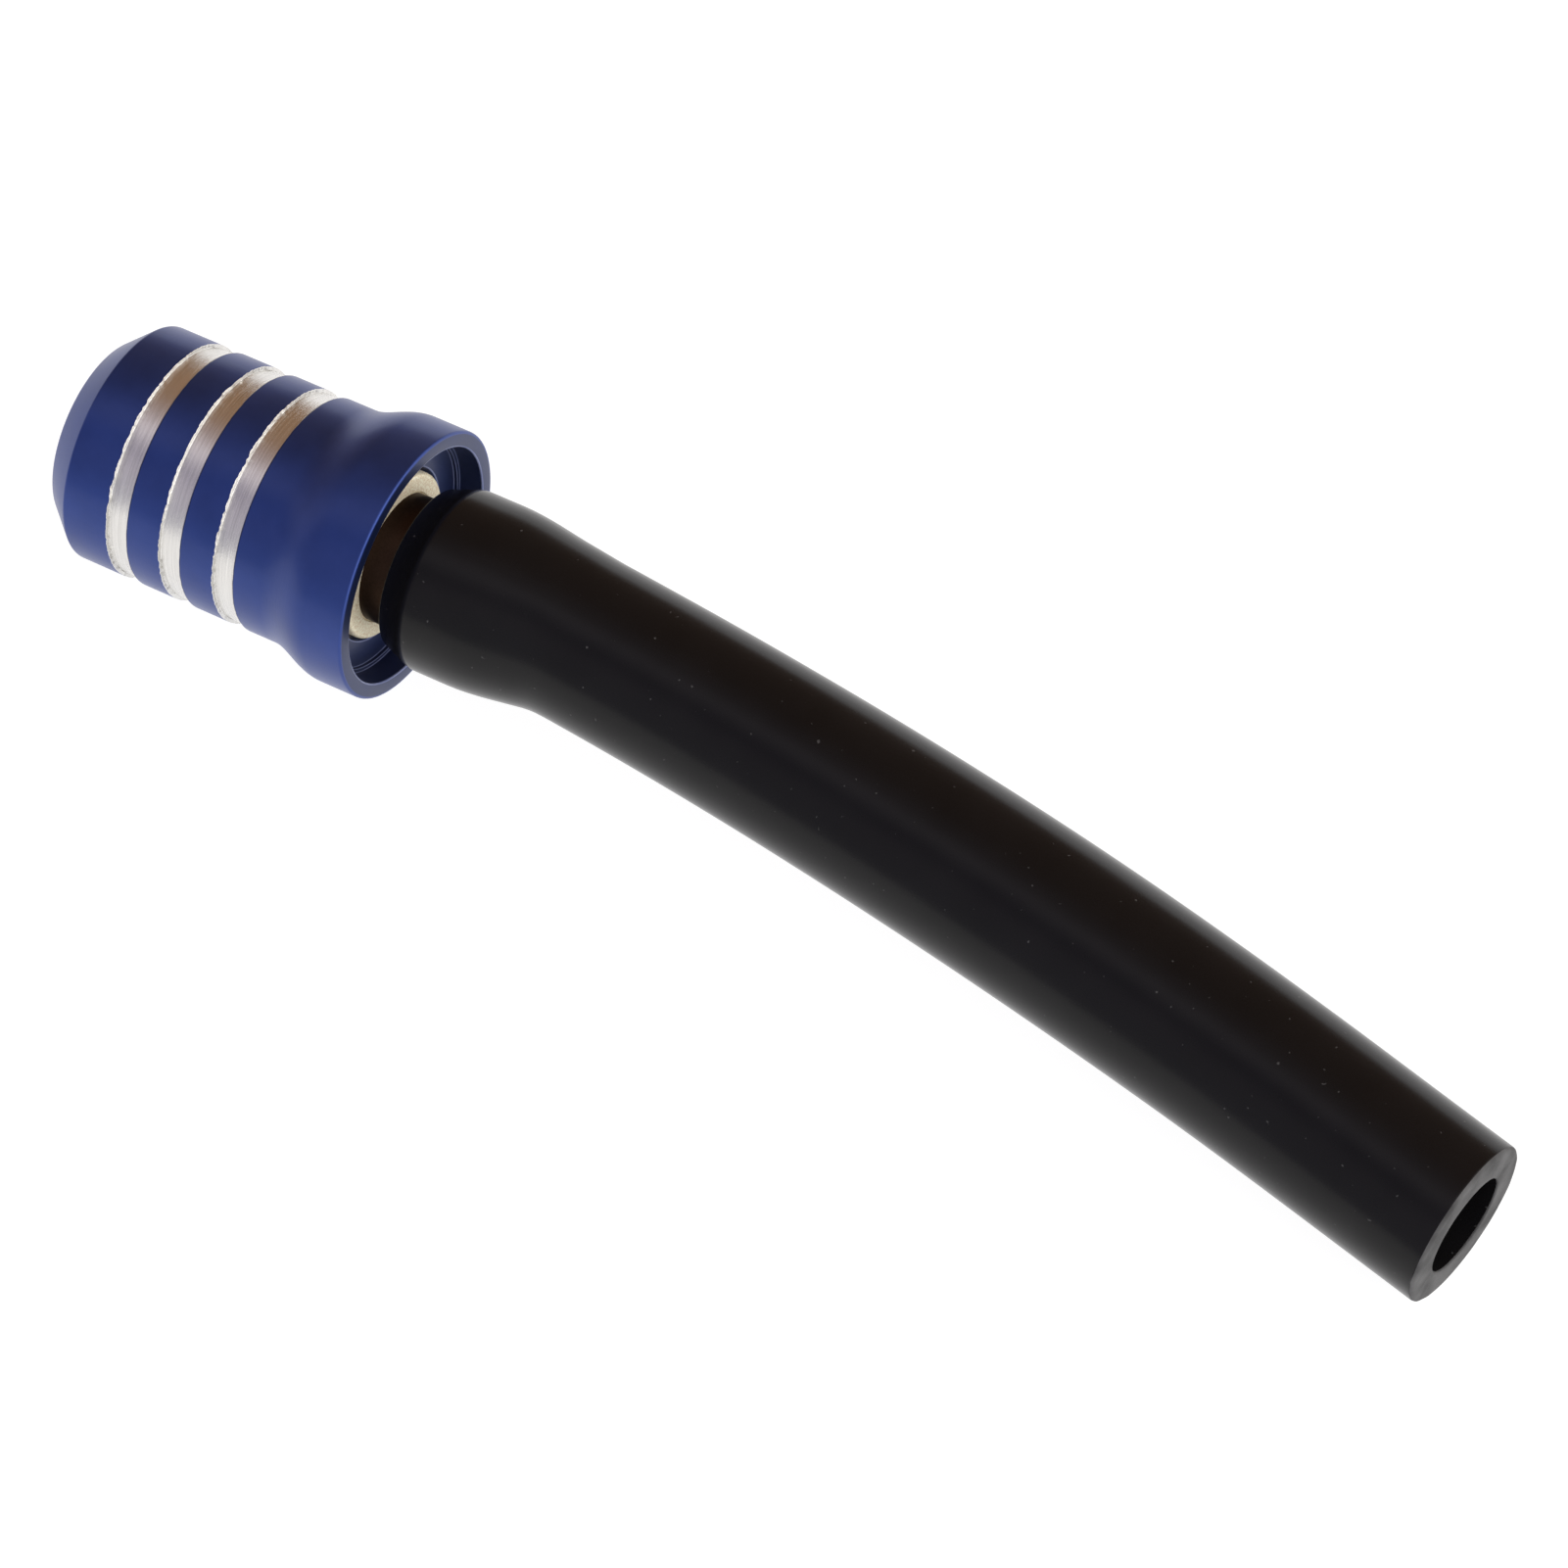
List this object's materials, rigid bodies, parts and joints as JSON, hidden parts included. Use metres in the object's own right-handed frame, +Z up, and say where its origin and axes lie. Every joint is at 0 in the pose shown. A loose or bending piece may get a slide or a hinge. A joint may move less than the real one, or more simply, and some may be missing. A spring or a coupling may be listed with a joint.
{
  "type": "fuel cap vent valve with hose",
  "caption": "One-way vent valve for a fuel tank cap: grooved anodised shell with a bell mouth, brass body with a sprung ball, and a short bent rubber hose.",
  "frame": {"origin": "on the surface the part lies on, below the middle of the valve's length, measured without the hose", "axes": "+X along the valve from its closed end towards the hose, +Z up from the surface; the hose bends towards -Y and a little down"},
  "size_m": [0.094, 0.0229, 0.0166],
  "materials": {
    "anodised_shell": "satin blue anodised, with bare turned grooves",
    "brass": "as turned",
    "seal_rubber": "matte",
    "ball_steel": "polished",
    "spring_steel": "drawn wire",
    "hose_rubber": "satin"
  },
  "bodies": {
    "valve": {"cap_shell": "anodised_shell", "valve_body": "brass", "seat_insert": "brass", "seat_oring": "seal_rubber", "return_spring": "spring_steel", "hose": "hose_rubber"},
    "ball": {"check_ball": "ball_steel"}
  },
  "joints": [
    {"name": "ball_lift", "type": "slide", "parent": "valve", "child": "ball", "axis": [1, 0, 0], "range_m": [0, 0.0012], "stiffness_N_per_m": 30, "springref_m": -0.001, "deforming": ["return_spring"]}
  ]
}
